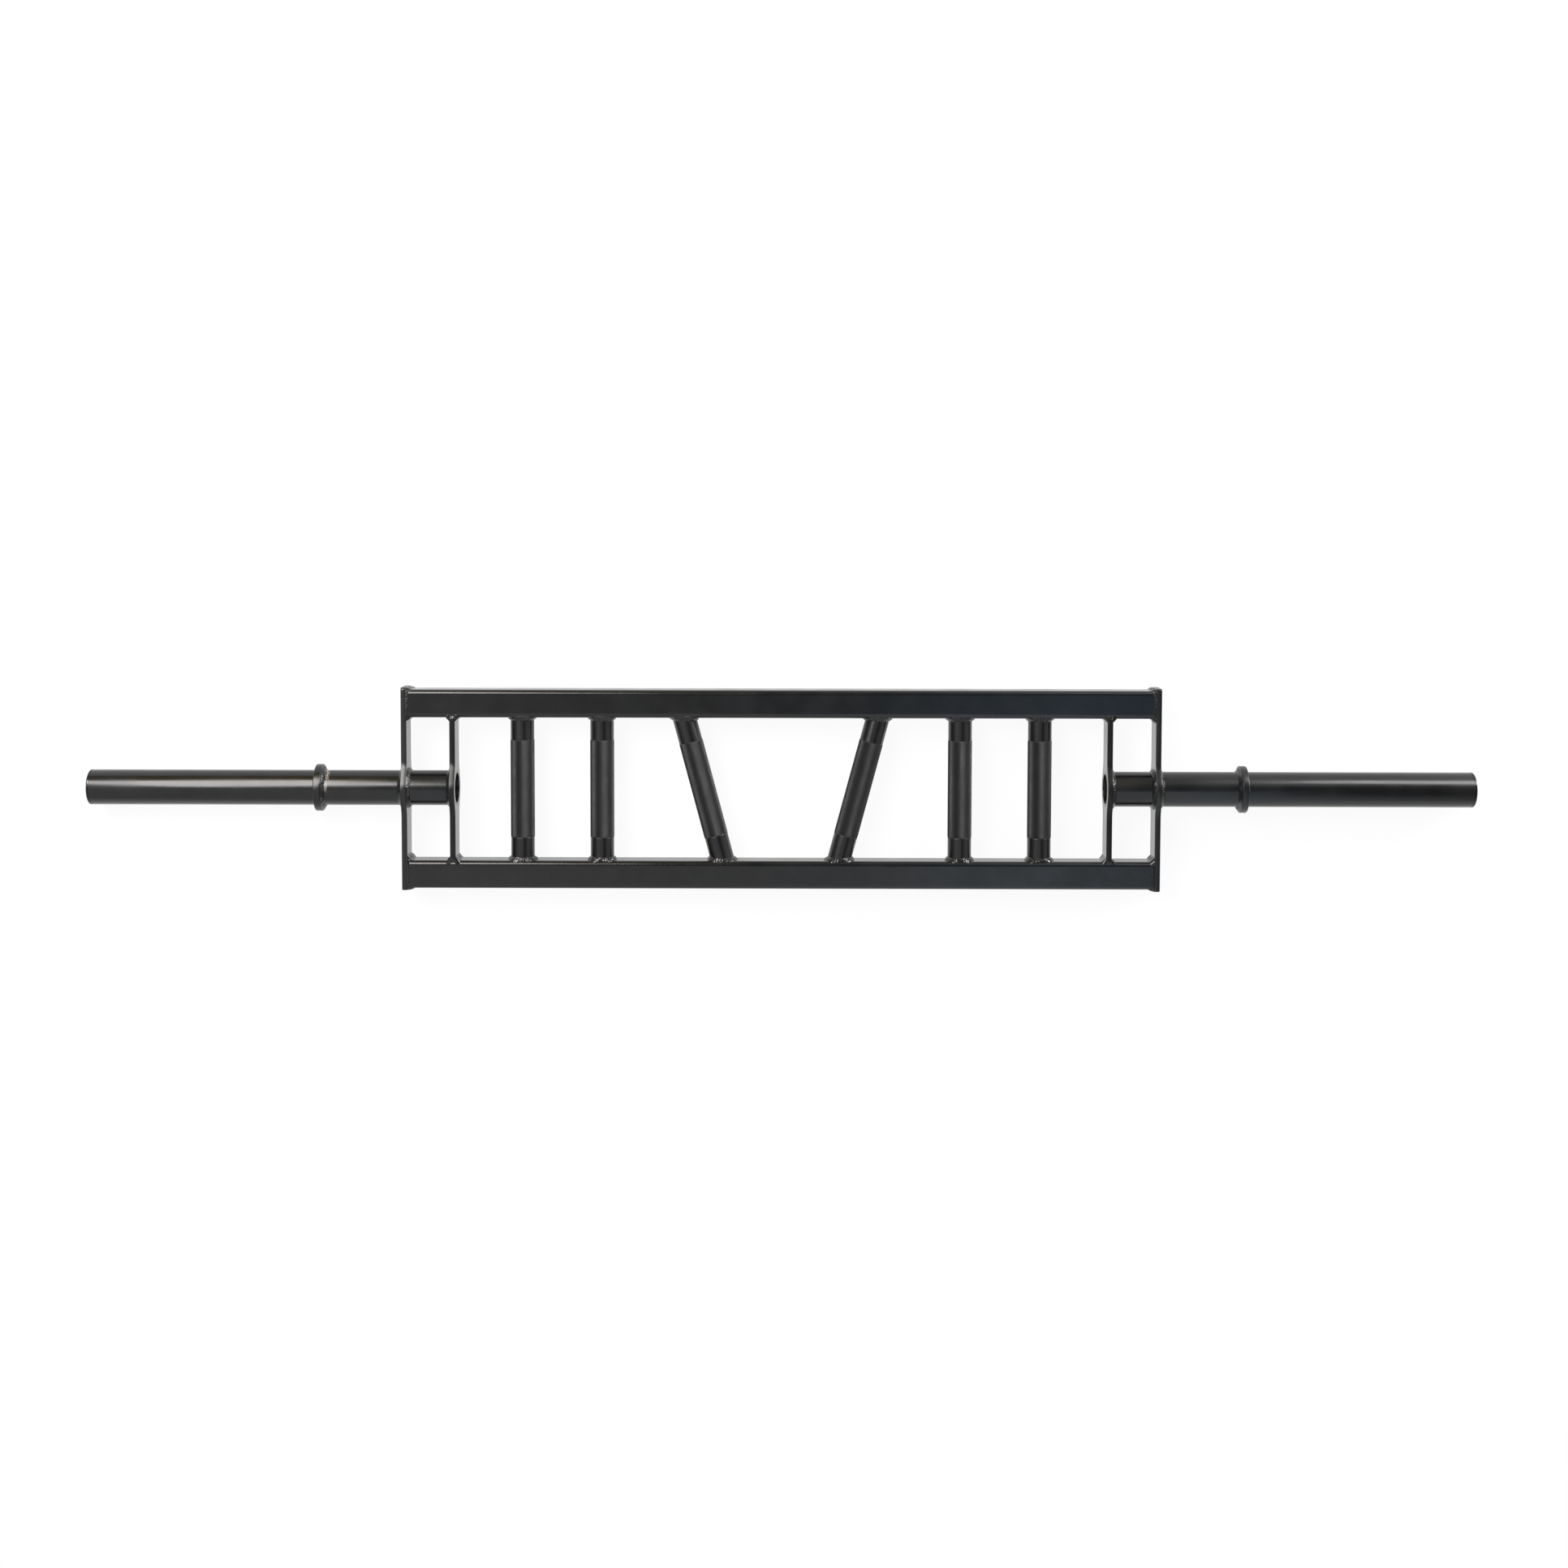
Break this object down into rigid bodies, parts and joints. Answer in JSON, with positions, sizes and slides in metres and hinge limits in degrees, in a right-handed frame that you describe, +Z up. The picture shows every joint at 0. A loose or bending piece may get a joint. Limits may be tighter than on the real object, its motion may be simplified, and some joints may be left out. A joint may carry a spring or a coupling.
{
  "type": "swiss bar",
  "caption": "Multi-grip strength training bar: flat welded square-tube frame with straight and slanted knurled handles, hubbed plates, collared loading sleeves and capped ends.",
  "frame": {"origin": "centre of the whole bar, on the axis of the two sleeves, halfway between the collars", "axes": "+X runs along the bar towards the right end in the picture, +Y runs across the frame from the lower rail to the upper rail, +Z is up, square to the flat frame and towards the camera"},
  "size_m": [1.98, 0.291, 0.067],
  "materials": {
    "black_powder_coat": "satin black powder coat over steel",
    "knurled_grip": "satin black coat over a knurled steel grip",
    "weld_bead": "black coat over a rough weld bead",
    "end_cap_plastic": "glossy black plastic"
  },
  "bodies": {
    "root": {"upper_rail": "black_powder_coat", "lower_rail": "black_powder_coat", "left_outer_plate": "black_powder_coat", "left_inner_plate": "black_powder_coat", "left_sleeve_tube": "black_powder_coat", "left_collar": "black_powder_coat", "left_end_cap": "end_cap_plastic", "left_outer_handle": "knurled_grip", "left_outer_handle_lower_weld": "weld_bead", "left_outer_handle_upper_weld": "weld_bead", "left_inner_handle": "knurled_grip", "left_inner_handle_lower_weld": "weld_bead", "left_inner_handle_upper_weld": "weld_bead", "left_angled_handle": "knurled_grip", "left_angled_handle_lower_weld": "weld_bead", "left_angled_handle_upper_weld": "weld_bead", "left_inner_plate_lower_back_weld": "weld_bead", "left_inner_plate_lower_front_weld": "weld_bead", "left_inner_plate_upper_back_weld": "weld_bead", "left_inner_plate_upper_front_weld": "weld_bead", "left_upper_rail_weld": "weld_bead", "left_lower_rail_weld": "weld_bead", "left_outer_plate_tube_inside_weld": "weld_bead", "left_outer_plate_tube_outside_weld": "weld_bead", "left_inner_plate_tube_weld": "weld_bead", "left_collar_weld": "weld_bead", "right_outer_plate": "black_powder_coat", "right_inner_plate": "black_powder_coat", "right_sleeve_tube": "black_powder_coat", "right_collar": "black_powder_coat", "right_end_cap": "end_cap_plastic", "right_outer_handle": "knurled_grip", "right_outer_handle_lower_weld": "weld_bead", "right_outer_handle_upper_weld": "weld_bead", "right_inner_handle": "knurled_grip", "right_inner_handle_lower_weld": "weld_bead", "right_inner_handle_upper_weld": "weld_bead", "right_angled_handle": "knurled_grip", "right_angled_handle_lower_weld": "weld_bead", "right_angled_handle_upper_weld": "weld_bead", "right_inner_plate_lower_back_weld": "weld_bead", "right_inner_plate_lower_front_weld": "weld_bead", "right_inner_plate_upper_back_weld": "weld_bead", "right_inner_plate_upper_front_weld": "weld_bead", "right_upper_rail_weld": "weld_bead", "right_lower_rail_weld": "weld_bead", "right_outer_plate_tube_inside_weld": "weld_bead", "right_outer_plate_tube_outside_weld": "weld_bead", "right_inner_plate_tube_weld": "weld_bead", "right_collar_weld": "weld_bead"}
  },
  "joints": []
}
